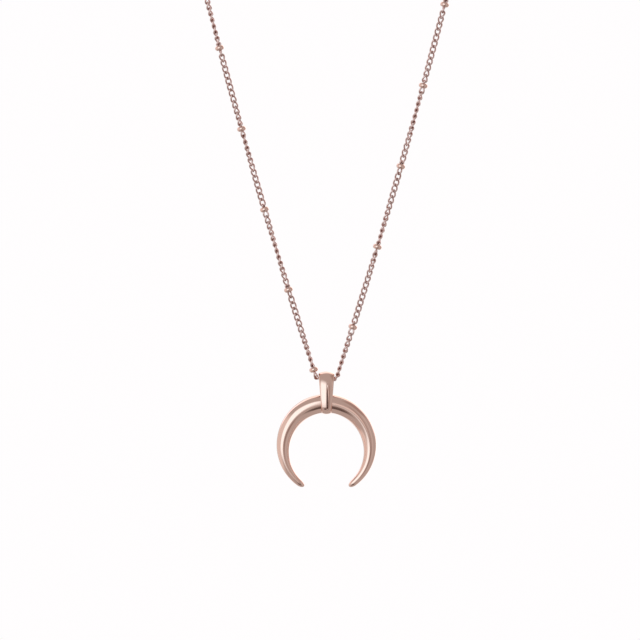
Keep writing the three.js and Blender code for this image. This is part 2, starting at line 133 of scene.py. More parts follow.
# ---- materials ----
# Noise sizes are in features per metre, so 1000 is about a millimetre.
TONE_SCALE = 350
POLISH_SCALE, POLISH_DETAIL = 1200, 4.0
RIPPLE_SCALE, RIPPLE_DETAIL = 420, 1.0
SCRATCH_SCALE, SCRATCH_DETAIL, SCRATCH_STRETCH = 9000, 2.0, (1, 1, 0.15)
NOISE_LOW, NOISE_HIGH = 0.3, 0.7  # where nearly all of the noise lies
PAINTED_SHADE_BROWN = (0.22, 0.095, 0.065, 1)  # painted shade: the brown that creases, link ends and bead ends are darkened towards, where the metal shades itself


def new_material(name):
    material = bpy.data.materials.new(name)
    material.use_nodes = True
    return material, material.node_tree.nodes["Principled BSDF"]


def add_noise(nodes, links, scale, detail=3.0, stretch=(1, 1, 1)):
    """Noise in object space, in metres, that may be stretched along an axis."""
    place = nodes.new("ShaderNodeTexCoord")
    mapping = nodes.new("ShaderNodeMapping")
    mapping.inputs["Scale"].default_value = stretch
    noise = nodes.new("ShaderNodeTexNoise")
    noise.inputs["Scale"].default_value = scale
    noise.inputs["Detail"].default_value = detail
    links.new(place.outputs["Object"], mapping.inputs["Vector"])
    links.new(mapping.outputs["Vector"], noise.inputs["Vector"])
    return noise.outputs["Fac"]


def spread_noise(nodes, links, value, low, high):
    """Noise spread over the range from low to high."""
    ramp = nodes.new("ShaderNodeMapRange")
    ramp.inputs["From Min"].default_value = NOISE_LOW
    ramp.inputs["From Max"].default_value = NOISE_HIGH
    ramp.inputs["To Min"].default_value = low
    ramp.inputs["To Max"].default_value = high
    links.new(value, ramp.inputs["Value"])
    return ramp.outputs["Result"]


def add_bump(nodes, links, height, distance):
    bump = nodes.new("ShaderNodeBump")
    bump.inputs["Strength"].default_value = 1.0
    bump.inputs["Distance"].default_value = distance
    links.new(height, bump.inputs["Height"])
    return bump


def plated_metal(name, light, dark, roughness, waviness, scratches):
    """Polished plated metal: the plate's tone drifts, its polish varies, and fine marks cross it.
    Where the mesh's shade attribute is high the colour turns brown: painted shade in creases and
    where parts meet.

    Waviness and scratches are heights in metres.
    """
    material, shader = new_material(name)
    nodes, links = material.node_tree.nodes, material.node_tree.links
    shader.inputs["Metallic"].default_value = 1.0
    mix = nodes.new("ShaderNodeMix")
    mix.data_type = "RGBA"
    mix.inputs["A"].default_value = (*light, 1)
    mix.inputs["B"].default_value = (*dark, 1)
    links.new(add_noise(nodes, links, TONE_SCALE), mix.inputs["Factor"])
    # painted shade: a per-vertex attribute pulls the colour towards brown in creases and where parts
    # meet
    crevice = nodes.new("ShaderNodeAttribute")
    crevice.attribute_name = "crevice"
    darken = nodes.new("ShaderNodeMix")
    darken.data_type = "RGBA"
    darken.inputs["B"].default_value = PAINTED_SHADE_BROWN
    links.new(crevice.outputs["Fac"], darken.inputs["Factor"])
    links.new(mix.outputs["Result"], darken.inputs["A"])
    links.new(darken.outputs["Result"], shader.inputs["Base Color"])
    polish = add_noise(nodes, links, POLISH_SCALE, POLISH_DETAIL)
    links.new(spread_noise(nodes, links, polish, *roughness), shader.inputs["Roughness"])
    ripple = add_noise(nodes, links, RIPPLE_SCALE, RIPPLE_DETAIL)
    soft = add_bump(nodes, links, ripple, waviness)
    scratch = add_noise(nodes, links, SCRATCH_SCALE, SCRATCH_DETAIL, SCRATCH_STRETCH)
    fine = add_bump(nodes, links, scratch, scratches)
    links.new(soft.outputs["Normal"], fine.inputs["Normal"])
    links.new(fine.outputs["Normal"], shader.inputs["Normal"])
    return material


PENDANT_GOLD = plated_metal(
    "pendant_gold",
    light=(0.90, 0.615, 0.525),
    dark=(0.86, 0.575, 0.485),
    roughness=(0.07, 0.13),
    waviness=1.2e-6,
    scratches=1.0e-7,
)
CHAIN_GOLD = plated_metal(
    "chain_gold",
    light=(0.82, 0.585, 0.545),
    dark=(0.695, 0.48, 0.44),
    roughness=(0.14, 0.24),
    waviness=1.0e-6,
    scratches=3.0e-7,
)
BEAD_GOLD = plated_metal(
    "bead_gold",
    light=(0.91, 0.63, 0.55),
    dark=(0.83, 0.55, 0.47),
    roughness=(0.08, 0.16),
    waviness=1.0e-6,
    scratches=2.0e-7,
)
FINDINGS_GOLD = plated_metal(
    "findings_gold",
    light=(0.89, 0.59, 0.49),
    dark=(0.84, 0.53, 0.43),
    roughness=(0.08, 0.16),
    waviness=1.5e-6,
    scratches=2.0e-7,
)
SPRING_STEEL = plated_metal(
    "spring_steel",
    light=(0.62, 0.61, 0.59),
    dark=(0.52, 0.51, 0.50),
    roughness=(0.2, 0.32),
    waviness=1.0e-6,
    scratches=4.0e-7,
)


# ---- mesh helpers ----
def add_mesh(name, points, faces, material):
    mesh = bpy.data.meshes.new(name)
    mesh.from_pydata([tuple(p) for p in points], [], faces)
    mesh.validate()
    mesh.shade_smooth()
    mesh.materials.append(material)
    piece = bpy.data.objects.new(name, mesh)
    bpy.context.scene.collection.objects.link(piece)
    return piece


def mark_painted_shade(piece, values):
    """How much painted shade each vertex gets, from 0 to 1, which the metals' colour reads."""
    crevice = piece.data.attributes.new("crevice", "FLOAT", "POINT")
    crevice.data.foreach_set("value", np.array(values, dtype=float))


def grid_faces(rows, columns, close_rows, start=0):
    """Quads over rows x columns points, closed across the columns, and along the rows if asked."""
    faces = []
    for i in range(rows if close_rows else rows - 1):
        a, b = start + i * columns, start + ((i + 1) % rows) * columns
        for j in range(columns):
            k = (j + 1) % columns
            faces.append((a + j, a + k, b + k, b + j))
    return faces


def wire_loop(centres, radius, sides, up):
    """Rings of points round a closed line of centres. The line never runs along up."""
    ahead = np.roll(centres, -1, axis=0) - np.roll(centres, 1, axis=0)
    ahead /= np.linalg.norm(ahead, axis=1)[:, None]
    side = np.cross(ahead, up)
    side /= np.linalg.norm(side, axis=1)[:, None]
    top = np.cross(side, ahead)
    turn = np.linspace(0, 2 * math.pi, sides, endpoint=False)
    ring = np.cos(turn)[None, :, None] * side[:, None] + np.sin(turn)[None, :, None] * top[:, None]
    return (centres[:, None] + radius * ring).reshape(-1, 3)


# ---- horn ----
HORN_CENTRE_DROP = 13.63 * MM
HORN_CENTRE_HEIGHT = BORE_HEIGHT - HORN_CENTRE_DROP
HORN_OUTER_RADIUS = 10.22 * MM
HORN_TOP_RISE = 0.23 * MM
HORN_TOP_THICKNESS = 3.85 * MM
HORN_TIP_THICKNESS = 1.3 * MM
HORN_TIP_ANGLE = math.radians(151.5)
HORN_ROUNDED_TIP = math.radians(8)
HORN_TAPER_ANGLE = math.radians(150)
HORN_TAPER_POWER = 1.15
HORN_SIDES = 56
HORN_STEPS = 150
HORN_TIP_STEPS = 12


def horn_thickness(angle):
    turn = min(abs(angle) / HORN_TAPER_ANGLE, 1) * math.pi / 2
    fullness = max(math.cos(turn), 0) ** HORN_TAPER_POWER
    return HORN_TIP_THICKNESS + (HORN_TOP_THICKNESS - HORN_TIP_THICKNESS) * fullness


def horn_middle_radius(angle):
    rise = HORN_TOP_RISE * max(0, math.cos(angle)) ** 2
    return HORN_OUTER_RADIUS + rise - horn_thickness(angle) / 2


def make_horn():
    round_start = HORN_TIP_ANGLE - HORN_ROUNDED_TIP
    turns = np.linspace(0, math.pi / 2, HORN_TIP_STEPS + 1)
    tip = [(round_start + HORN_ROUNDED_TIP * math.cos(t), math.sin(t)) for t in turns[1:-1]]
    body = [(a, 1.0) for a in np.linspace(round_start, -round_start, HORN_STEPS)]
    stations = tip + body + [(-angle, share) for angle, share in reversed(tip)]
    points = []
    for angle, share in stations:
        out = np.array((math.sin(angle), 0, math.cos(angle)))
        middle = np.array((0, 0, HORN_CENTRE_HEIGHT)) + horn_middle_radius(angle) * out
        for turn in np.linspace(0, 2 * math.pi, HORN_SIDES, endpoint=False):
            across = math.cos(turn) * out + math.sin(turn) * np.array((0, 1, 0))
            points.append(middle + horn_thickness(angle) / 2 * share * across)
    faces = grid_faces(len(stations), HORN_SIDES, close_rows=False)
    for angle, row in ((HORN_TIP_ANGLE, 0), (-HORN_TIP_ANGLE, len(stations) - 1)):
        out = np.array((math.sin(angle), 0, math.cos(angle)))
        points.append(np.array((0, 0, HORN_CENTRE_HEIGHT)) + horn_middle_radius(angle) * out)
        first = row * HORN_SIDES
        for j in range(HORN_SIDES):
            pair = (first + j, first + (j + 1) % HORN_SIDES)
            faces.append((*(pair if row else pair[::-1]), len(points) - 1))
    horn = add_mesh("horn_polished", points, faces, PENDANT_GOLD)
    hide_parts("horn")
    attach(horn, BODY_OF["horn"])


# ---- bail ----
BAIL_TOP = 1.45 * MM
BAIL_TOP_RADIUS = 1.8 * MM
BAIL_FACE_RADIUS = 8 * MM
BAIL_WALL = 0.64 * MM
BAIL_FOOT_WALL = 0.3 * MM
BAIL_TOP_WIDTH = 3.3 * MM
BAIL_FOOT_WIDTH = 2.0 * MM
BAIL_CROWN = 0.25  # the dome's rise, of the half width
BAIL_STRAIGHTENING = 0.6  # how much of the bend below its deepest level the faces lose
BAIL_EDGE_ROUND = 0.09 * MM
BAIL_BEVEL_WIDTH = 0.17 * MM
BAIL_BEVEL_DROP = 0.8  # of the side's height above the inner edge's rounding
BAIL_BEVEL_CURVE = 1.25
BAIL_BEVEL_STEPS = (0, 0.1, 0.35, 0.65, 0.9)  # from the side inwards
BAIL_EDGE_STEPS = 5
BAIL_DOME_STEPS = 14  # each side of the crease
BAIL_ARC_STEPS = 80
CREASE_ACROSS = 0.15 * MM
CREASE_HALF_WIDTH = 0.13 * MM
CREASE_DEPTH = 0.26 * MM
CREASE_TOP = -1.2 * MM
CREASE_END = -6.0 * MM
CREASE_RUN_IN = 2.2  # it reaches its depth at one part in so many of its length
CREASE_COLUMNS = (1.5, 1.1, 1, 0.9, 0.6, 0.3, 0.08, -0.08, -0.3, -0.6, -0.9, -1, -1.1, -1.5)
DIMPLE_RADIUS = 0.24 * MM
PAINTED_SHADE_DEPTH = 0.1 * MM  # of the crease's sinking, at which the painted shade is full
OUTER_SHARE = 0.9  # of the strap's thickness: points past it are on its outer face
BAIL_BAR_HEIGHT = horn_middle_radius(0) - HORN_CENTRE_DROP
BAIL_FOOT_RADIUS = horn_thickness(0) / 2 + BAIL_FOOT_WALL
BAIL_FOOT = BAIL_BAR_HEIGHT - BAIL_FOOT_RADIUS


def bail_swell(angle, foot):
    """How far the strap stands proud of its outline: its faces run straighter down to the foot.

    Foot is the angle below level where the faces meet the foot's arc. Along that arc a cubic
    takes the swell back to nothing under the horn.
    """
    below = math.asin(max(0, -math.sin(angle)))
    slope = BAIL_STRAIGHTENING * min(below, foot)
    swell = BAIL_FACE_RADIUS * slope * min(below, foot) / 2
    if below <= foot:
        return swell
    t = (below - foot) / (math.pi / 2 - foot)
    run = BAIL_FOOT_RADIUS * (math.pi / 2 - foot)
    return swell * (2 * t**3 - 3 * t**2 + 1) + slope * run * (t**3 - 2 * t**2 + t)


def bail_outline():
    """Stations round the side view, in four arcs that meet: (outward angle, depth, height, swell)."""
    top_centre = BAIL_TOP - BAIL_TOP_RADIUS
    to_foot = BAIL_FACE_RADIUS - BAIL_FOOT_RADIUS
    spread = top_centre - BAIL_BAR_HEIGHT
    above_bar = (spread**2 + to_foot**2 - (BAIL_FACE_RADIUS - BAIL_TOP_RADIUS) ** 2) / (2 * spread)
    depth, height = math.sqrt(to_foot**2 - above_bar**2), BAIL_BAR_HEIGHT + above_bar
    top = math.atan2(top_centre - height, depth)
    foot = math.atan2(BAIL_BAR_HEIGHT - height, depth)
    arcs = [
        (foot, top, -depth, height, BAIL_FACE_RADIUS),
        (top, math.pi - top, 0, top_centre, BAIL_TOP_RADIUS),
        (math.pi - top, math.pi - foot, depth, height, BAIL_FACE_RADIUS),
        (math.pi - foot, 2 * math.pi + foot, 0, BAIL_BAR_HEIGHT, BAIL_FOOT_RADIUS),
    ]
    return [
        (angle, y + radius * math.cos(angle), z + radius * math.sin(angle), bail_swell(angle, -foot))
        for start, end, y, z, radius in arcs
        for angle in np.linspace(start, end, BAIL_ARC_STEPS, endpoint=False)
    ]


def bail_section(half_width, wall):
    """(across, outwards) points once round the strap: flat inside, domed outside, bevelled sides."""
    soft = BAIL_EDGE_ROUND
    crown = BAIL_CROWN * half_width
    quarter = np.linspace(0, math.pi / 2, BAIL_EDGE_STEPS)
    left = [(soft - half_width - soft * math.cos(t), soft - soft * math.sin(t)) for t in quarter]
    inner = left + [(-across, outwards) for across, outwards in left[::-1]]
    radius = (half_width**2 + crown**2) / (2 * crown)
    reach = half_width - BAIL_BEVEL_WIDTH

    def dome_rise(across):
        return wall - radius + math.sqrt(radius**2 - across**2)

    drop = BAIL_BEVEL_DROP * (dome_rise(reach) - soft)
    bevel = [
        (half_width - BAIL_BEVEL_WIDTH * t, dome_rise(reach) - drop * (1 - t) ** BAIL_BEVEL_CURVE)
        for t in BAIL_BEVEL_STEPS
    ]
    middle = [CREASE_ACROSS + CREASE_HALF_WIDTH * t for t in CREASE_COLUMNS]
    right = np.linspace(reach, middle[0], BAIL_DOME_STEPS, endpoint=False)
    left = np.linspace(middle[-1], -reach, BAIL_DOME_STEPS + 1)[1:]
    dome = [(across, dome_rise(across)) for across in (*right, *middle, *left)]
    return inner + bevel + dome + [(-across, outwards) for across, outwards in bevel[::-1]]


def crease_depth(across, height):
    """The fine V down the front and back, and the drilled dimple it ends in, above the foot."""
    fall = (CREASE_TOP - height) / (CREASE_TOP - CREASE_END)
    off = abs(across - CREASE_ACROSS) / CREASE_HALF_WIDTH
    crease = CREASE_DEPTH * min(1, CREASE_RUN_IN * fall) * max(0, 1 - off) if 0 < fall < 1 else 0
    away = math.hypot(across - CREASE_ACROSS, height - CREASE_END) / DIMPLE_RADIUS
    return max(crease, CREASE_DEPTH * max(0, 1 - away))


def make_bail():
    outline = bail_outline()
    points, painted_shades = [], []
    for angle, depth, height, swell in outline:
        rise = (height - BAIL_FOOT) / (BAIL_TOP - BAIL_FOOT)
        half_width = (BAIL_FOOT_WIDTH + (BAIL_TOP_WIDTH - BAIL_FOOT_WIDTH) * rise) / 2
        wall = BAIL_FOOT_WALL + (BAIL_WALL - BAIL_FOOT_WALL) * rise
        for across, outwards in bail_section(half_width, wall + swell):
            outer = outwards > OUTER_SHARE * (wall + swell)
            sunk = crease_depth(across, height) if outer else 0
            # painted shade: the deeper the crease or dimple sinks a point, the darker it is painted
            painted_shades.append(min(1, sunk / PAINTED_SHADE_DEPTH))
            outwards -= sunk
            y = depth + math.cos(angle) * (outwards - wall)
            z = height + math.sin(angle) * (outwards - wall)
            points.append((across, y, BORE_HEIGHT + z))
    columns = len(bail_section(BAIL_TOP_WIDTH / 2, BAIL_WALL))
    faces = grid_faces(len(outline), columns, close_rows=True)
    bail = add_mesh("bail_polished", points, faces, PENDANT_GOLD)
    mark_painted_shade(bail, painted_shades)
    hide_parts("bail")
    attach(bail, BODY_OF["bail"])


# ---- chain links ----
LINK_WIRE = 0.187 * MM  # radius
LINK_PITCH = 1.23 * MM
LINK_HALF_WIDTH = 0.505 * MM
LINK_HALF_LENGTH = LINK_PITCH / 2 + LINK_WIRE
LOWER_REACH = 2.15 * MM  # from a bead's middle to the middle of the next plain link, bail side
UPPER_REACH = 1.55 * MM  # and clasp side
BEAD_PINCH = 0.63  # of the link's width
BEAD_PINCH_REACH = 0.68 * MM
BEAD_PINCH_SHARPNESS = 6
LINK_SQUARENESS = 3  # how quickly a link's round ends turn into its straight sides
CURB_TWIST = math.radians(54)  # at each end of a link
LINK_END_SHADE = 0.55  # painted shade at its ends, where links overlap and shade each other
END_SHADE_REACH = 1 / 3  # of a half length, from its end
LINK_SIDES = 10
PLAIN_LINK_STEPS = 28
BEAD_LINK_STEPS = 48
LAST_LINK_GAP = 0.3 * MM
FLAT_TO_EDGE = math.pi / 2
TWIST = {  # where each side starts to turn, and how far it goes for half a turn
    "left": (5.3 * MM, 24.0 * MM),
    "right": (4.3 * MM, 27.4 * MM),
}
END_LINK = {"across": 7.92 * MM, "radius": 0.95 * MM, "wire": 0.22 * MM, "steps": 40}


def squared(cosines, squareness):
    """Cosines that dwell near their ends, which gives a ring of wire straight sides."""
    return np.tanh(squareness * cosines) / math.tanh(squareness)


def link_line(half_length, steps, bead_at=None):
    """A curb link's centre line along x, its ends twisted opposite ways, pinched at its bead."""
    turn = np.linspace(0, 2 * math.pi, steps, endpoint=False)
    straight = half_length - LINK_HALF_WIDTH
    along = LINK_HALF_WIDTH * np.cos(turn) + straight * squared(np.cos(turn), LINK_SQUARENESS)
    across = LINK_HALF_WIDTH * np.sin(turn)
    if bead_at is not None:
        off = ((along - bead_at) / BEAD_PINCH_REACH) ** BEAD_PINCH_SHARPNESS
        across = across * (1 - BEAD_PINCH * np.exp(-off))
    twist = CURB_TWIST * along / half_length
    return np.stack((along, across * np.cos(twist), across * np.sin(twist)), axis=1)


def bead_link_line():
    """The long link a bead sits on, with its open loop towards -x and the bead at x = 0."""
    lower = LOWER_REACH - LINK_PITCH / 2 + LINK_WIRE
    upper = UPPER_REACH - LINK_PITCH / 2 + LINK_WIRE
    middle = (upper - lower) / 2
    line = link_line((upper + lower) / 2, BEAD_LINK_STEPS, bead_at=-middle)
    return line + np.array((middle, 0.0, 0.0))


PLAIN_LINK = link_line(LINK_HALF_LENGTH, PLAIN_LINK_STEPS)
BEAD_LINK = bead_link_line()


def chain_twist(distance):
    start, half_turn = TWIST["left" if distance < 0 else "right"]
    return FLAT_TO_EDGE + math.pi * max(0.0, abs(distance) - start) / half_turn


def place_link(line, distance):
    """The line on the chain, with its +x end away from the bail."""
    ahead = chain_direction(distance) * math.copysign(1, distance)
    front = np.array((0.0, -1.0, 0.0))
    side = np.cross(ahead, front)
    turn = chain_twist(distance)
    across = math.cos(turn) * side + math.sin(turn) * front
    normal = np.cross(ahead, across)
    basis = np.stack((ahead, across, normal))
    return line @ basis + chain_point(distance), normal


def side_beads(side_name):
    return [FIRST_BEAD[side_name] + i * BEAD_SPACING for i in range(BEADS_PER_SIDE)]


def link_stations():
    """(signed distance, is it a bead's long link) for every link, from the left end to the right."""
    left, right = side_beads("left"), side_beads("right")
    last_link = SIDE_END - LAST_LINK_GAP
    stations = [(-b, True) for b in left] + [(b, True) for b in right]
    gaps = [(LOWER_REACH - left[0], right[0] - LOWER_REACH)]
    for side, beads in ((-1, left), (1, right)):
        ends = [b - LOWER_REACH for b in beads[1:]] + [last_link]
        gaps += [(side * (b + UPPER_REACH), side * end) for b, end in zip(beads, ends)]
    for start, end in gaps:
        count = round(abs(end - start) / LINK_PITCH)
        stations += [(distance, False) for distance in np.linspace(start, end, count + 1)]
    return sorted(stations)


def end_shade(along):
    """From 0 to 1 over the last part of a length that runs both ways from its middle."""
    share = np.abs(along) / np.abs(along).max()
    return np.clip((share - 1) / END_SHADE_REACH + 1, 0, 1)


def make_links(name, stations, extra=None):
    """One piece of curb links, and of an end link where extra gives its line, wire and normal."""
    points, faces, painted_shades = [], [], []
    for distance, long in stations:
        shape = BEAD_LINK if long else PLAIN_LINK
        line, normal = place_link(shape, distance)
        faces += grid_faces(len(line), LINK_SIDES, close_rows=True, start=len(points))
        points += list(wire_loop(line, LINK_WIRE, LINK_SIDES, normal))
        # painted shade towards each link's ends, where it meets its neighbours
        painted_shades += list(np.repeat(LINK_END_SHADE * end_shade(shape[:, 0]), LINK_SIDES))
    if extra is not None:
        line, wire, normal = extra
        faces += grid_faces(len(line), LINK_SIDES, close_rows=True, start=len(points))
        points += list(wire_loop(line, wire, LINK_SIDES, normal))
        painted_shades += [0.0] * (len(line) * LINK_SIDES)
    piece = add_mesh(name, points, faces, CHAIN_GOLD)
    mark_painted_shade(piece, painted_shades)
    return piece


def end_link(side):
    turn = np.linspace(0, 2 * math.pi, END_LINK["steps"], endpoint=False)
    radius = END_LINK["radius"]
    line = np.stack((radius * np.cos(turn), radius * np.sin(turn), 0 * turn), axis=1)
    line += np.array((side * END_LINK["across"], 0, CHAIN_PLANE_HEIGHT))
    return line, END_LINK["wire"], np.array((0.0, 0.0, 1.0))


def make_chain():
    """The links come in stretches that each cross one fold, centred on it."""
    stations = link_stations()
    half = FOLD_SPACING / 2
    bottom = make_links("chain_links_bottom", [s for s in stations if abs(s[0]) <= half])
    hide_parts("chain_in_bail")
    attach(bottom, BODY_OF["chain_in_bail"])
    for side_name, side in SIDES.items():
        mine = [s for s in stations if s[0] * side > 0]
        for i in range(1, FOLD_COUNT + 1):
            fold = i * FOLD_SPACING
            near = [s for s in mine if fold - half < abs(s[0]) <= fold + half]
            piece = make_links(f"chain_links_{side_name}_{i}", near)
            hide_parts(f"chain_{side_name}_{i}")
            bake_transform(piece)
        top = [s for s in mine if abs(s[0]) > FOLD_COUNT * FOLD_SPACING + half]
        node = f"chain_{side_name}_end"
        piece = make_links(f"chain_links_{side_name}_end", top, end_link(side))
        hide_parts(node)
        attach(piece, BODY_OF[node])


# ---- beads ----
BEAD_RADIUS = 0.93 * MM
BEAD_BORE = 0.42 * MM
BEAD_LENGTH = 1.0 * MM
BEAD_END_SHADE = 0.6  # painted shade at its ends, where the links meet it
BEAD_LIP = 0.05 * MM
BEAD_BELLY_CURVE = 0.9
BEAD_BELLY_STEPS = 17
BEAD_BELLY_END = math.pi / 2 - 1e-3
BEAD_SIDES = 40


def bead_profile():
    """(radius, along) round a rondelle's wall once: bore, lip, rounded belly, lip."""
    half = BEAD_LENGTH / 2
    lip = BEAD_BORE + BEAD_LIP
    belly = [
        (lip + (BEAD_RADIUS - lip) * math.cos(t) ** BEAD_BELLY_CURVE, half * math.sin(t))
        for t in np.linspace(-BEAD_BELLY_END, BEAD_BELLY_END, BEAD_BELLY_STEPS)
    ]
    return [(BEAD_BORE, -half + BEAD_LIP), *belly, (BEAD_BORE, half - BEAD_LIP)]


def make_beads():
    profile = bead_profile()
    # painted shade towards the bead's ends, against the links
    painted_shades = BEAD_END_SHADE * end_shade(np.array([along for _, along in profile]))
    for side_name, side in SIDES.items():
        for i, distance in enumerate(side_beads(side_name)):
            node = f"bead_{side_name}_{i + 1}"
            middle = chain_point(side * distance)
            ahead = chain_direction(side * distance)
            depth = np.array((0.0, 1.0, 0.0))
            across = np.cross(ahead, depth)
            points = []
            for turn in np.linspace(0, 2 * math.pi, BEAD_SIDES, endpoint=False):
                out = math.cos(turn) * across + math.sin(turn) * depth
                points += [middle + radius * out + along * ahead for radius, along in profile]
            faces = grid_faces(BEAD_SIDES, len(profile), close_rows=True)
            bead = add_mesh(f"{node}_turned", points, faces, BEAD_GOLD)
            mark_painted_shade(bead, np.tile(painted_shades, BEAD_SIDES))
            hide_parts(node)
            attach(bead, BODY_OF[node])


# ---- clasp, rings and extender ----
LINK = {"radius": 1.15 * MM, "straight": 0.8 * MM, "wire": 0.25 * MM}
RINGS = {
    "jump_ring_left": {"radius": 1.45 * MM, "wire": 0.3 * MM},
    "clasp_ring_right": {"radius": 1.9 * MM, "wire": 0.3 * MM},
}
EXTENDER_LINKS = 9
RING_STEPS = 64
RING_SIDES = 20
RING_SQUARENESS = 6
WELD_DISTANCE = 1e-7
SAME_FACE = math.radians(2)
EDGE_TO_ROUND = math.radians(35)
ROUNDING_STEPS = 3
SHARP_EDGE = math.radians(40)
FACES_FORWARD = 0.999
TINY_AREA = 0.2 * MM**2
TAG_PANEL = (0.3 * MM, 0.06 * MM)


def box_middle(node):
    low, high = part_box(node)
    return np.array([(a + b) / 2 for a, b in zip(low, high)])


def make_ring(node, radius, wire, straight, across, along, name):
    """A closed wire ring about a node's middle, stretched along one direction by straight."""
    turn = np.linspace(0, 2 * math.pi, RING_STEPS, endpoint=False)
    c, s = np.cos(turn), np.sin(turn)
    stretch = straight / 2 * squared(s, RING_SQUARENESS)
    line = np.outer(radius * c, across) + np.outer(radius * s + stretch, along) + box_middle(node)
    points = wire_loop(line, wire, RING_SIDES, np.cross(across, along))
    faces = grid_faces(len(line), RING_SIDES, close_rows=True)
    ring = add_mesh(name, points, faces, FINDINGS_GOLD)
    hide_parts(node)
    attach(ring, BODY_OF[node])


def make_rings():
    right, back, up = np.eye(3)
    for node, size in RINGS.items():
        make_ring(node, size["radius"], size["wire"], 0, right, up, f"{node}_round")
    for i in range(1, EXTENDER_LINKS + 1):
        across = back if i % 2 else right
        node = f"extender_link_{i}"
        make_ring(node, LINK["radius"], LINK["wire"], LINK["straight"], across, up, f"{node}_oval")


def soften_node(node, width, sunk=None):
    """A copy of a CAD node with its edges rounded, for the small cast and stamped pieces.

    Sunk is the (border, depth) of a panel pressed into its flat front and back.
    """
    source = frame["nodes"][node].data
    piece = bpy.data.objects.new(f"{node}_cast", source.copy())
    bpy.context.scene.collection.objects.link(piece)
    mesh = bmesh.new()
    mesh.from_mesh(piece.data)
    bmesh.ops.remove_doubles(mesh, verts=mesh.verts, dist=WELD_DISTANCE)
    bmesh.ops.dissolve_limit(mesh, angle_limit=SAME_FACE, verts=mesh.verts, edges=mesh.edges)
    sharp = [e for e in mesh.edges if e.is_manifold and e.calc_face_angle(0) > EDGE_TO_ROUND]
    bmesh.ops.bevel(
        mesh,
        geom=sharp,
        offset=width,
        segments=ROUNDING_STEPS,
        profile=0.5,
        affect="EDGES",
        clamp_overlap=True,
    )
    for facing in (-1, 1) if sunk else ():
        ahead = [f for f in mesh.faces if f.normal.y * facing > FACES_FORWARD]
        panel = [f for f in ahead if f.calc_area() > TINY_AREA]
        bmesh.ops.inset_region(
            mesh, faces=panel, use_even_offset=True, thickness=sunk[0], depth=-sunk[1]
        )
    bmesh.ops.triangulate(mesh, faces=[f for f in mesh.faces if len(f.verts) > 4])
    mesh.to_mesh(piece.data)
    mesh.free()
    piece.data.materials.clear()
    piece.data.materials.append(FINDINGS_GOLD)
    piece.data.shade_smooth()
    piece.data.set_sharp_from_angle(angle=SHARP_EDGE)
    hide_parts(node)
    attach(piece, BODY_OF[node])


def make_clasp():
    soften_node("clasp_body", 0.16 * MM)
    soften_node("clasp_lever", 0.1 * MM)
    soften_node("clasp_pin", 0.05 * MM)
    soften_node("extender_tag", 0.1 * MM, TAG_PANEL)
    spring = frame["nodes"]["clasp_spring"]
    spring.data.materials.clear()
    spring.data.materials.append(SPRING_STEEL)


# ---- studio ----
TARGET = Vector((-1.33 * MM, 0, BORE_HEIGHT + 12.0 * MM))
VIEW_WIDTH = 131.2 * MM
CAMERA_DISTANCE = 1.1
SENSOR_WIDTH = 36
CLIP = (0.01, 20)
FLOOR_DROP = 0.45  # below the bail
FLOOR_RADIUS = 2.2
SWEEP = 1.2  # the radius of the curve between the floor and the wall
WALL_TOP = 6.0
SWEEP_STEPS = 16
WALL_STEPS = 12
BACKDROP_SIDES = 64


def add_camera():
    camera = bpy.data.cameras.new("camera")
    camera.sensor_width = SENSOR_WIDTH
    camera.lens = camera.sensor_width * CAMERA_DISTANCE / VIEW_WIDTH
    camera.clip_start, camera.clip_end = CLIP
    holder = bpy.data.objects.new("camera", camera)
    holder.location = TARGET + Vector((0, -CAMERA_DISTANCE, 0))
    holder.rotation_euler = (math.pi / 2, 0, 0)
    bpy.context.scene.collection.objects.link(holder)
    bpy.context.scene.camera = holder


def add_backdrop():
    """A seamless pale bowl: a flat floor that sweeps up into a wall all round."""
    profile = [(0.0, 0.0), (FLOOR_RADIUS, 0.0)]
    for turn in np.linspace(0, math.pi / 2, SWEEP_STEPS)[1:]:
        profile.append((FLOOR_RADIUS + SWEEP * math.sin(turn), SWEEP * (1 - math.cos(turn))))
    for turn in np.linspace(0, math.pi / 2, WALL_STEPS)[1:]:
        rise = SWEEP + (WALL_TOP - SWEEP) * math.sin(turn)
        profile.append(((FLOOR_RADIUS + SWEEP) * math.cos(turn), rise))
    points, faces = [], []
    for turn in np.linspace(0, 2 * math.pi, BACKDROP_SIDES, endpoint=False):
        for radius, rise in profile:
            height = BORE_HEIGHT - FLOOR_DROP + rise
            points.append((radius * math.cos(turn), radius * math.sin(turn), height))
    count = len(profile)
    for i in range(BACKDROP_SIDES):
        for j in range(count - 1):
            a, b = i * count + j, ((i + 1) % BACKDROP_SIDES) * count + j
            faces.append((a, b, b + 1, a + 1))
    mesh = bpy.data.meshes.new("backdrop")
    mesh.from_pydata(points, [], faces)
    mesh.shade_smooth()
    material, shader = new_material("backdrop_paper")
    shader.inputs["Base Color"].default_value = (0, 0, 0, 1)
    shader.inputs["Specular IOR Level"].default_value = 0
    shader.inputs["Emission Color"].default_value = (1.0, 0.985, 0.99, 1)
    shader.inputs["Emission Strength"].default_value = 1.0
    mesh.materials.append(material)
    backdrop = bpy.data.objects.new("backdrop", mesh)
    bpy.context.scene.collection.objects.link(backdrop)
    for ray in ("glossy", "diffuse", "transmission", "shadow"):
        setattr(backdrop, f"visible_{ray}", False)


def aim(holder, azimuth, elevation, distance):
    """Puts something round the pendant, facing it. Azimuth 0 is in front and 90 to the right."""
    a, e = math.radians(azimuth), math.radians(elevation)
    out = Vector((math.sin(a) * math.cos(e), -math.cos(a) * math.cos(e), math.sin(e)))
    holder.location = Vector((0, 0, HORN_CENTRE_HEIGHT)) + out * distance
    holder.rotation_euler = out.to_track_quat("Z", "Y").to_euler()


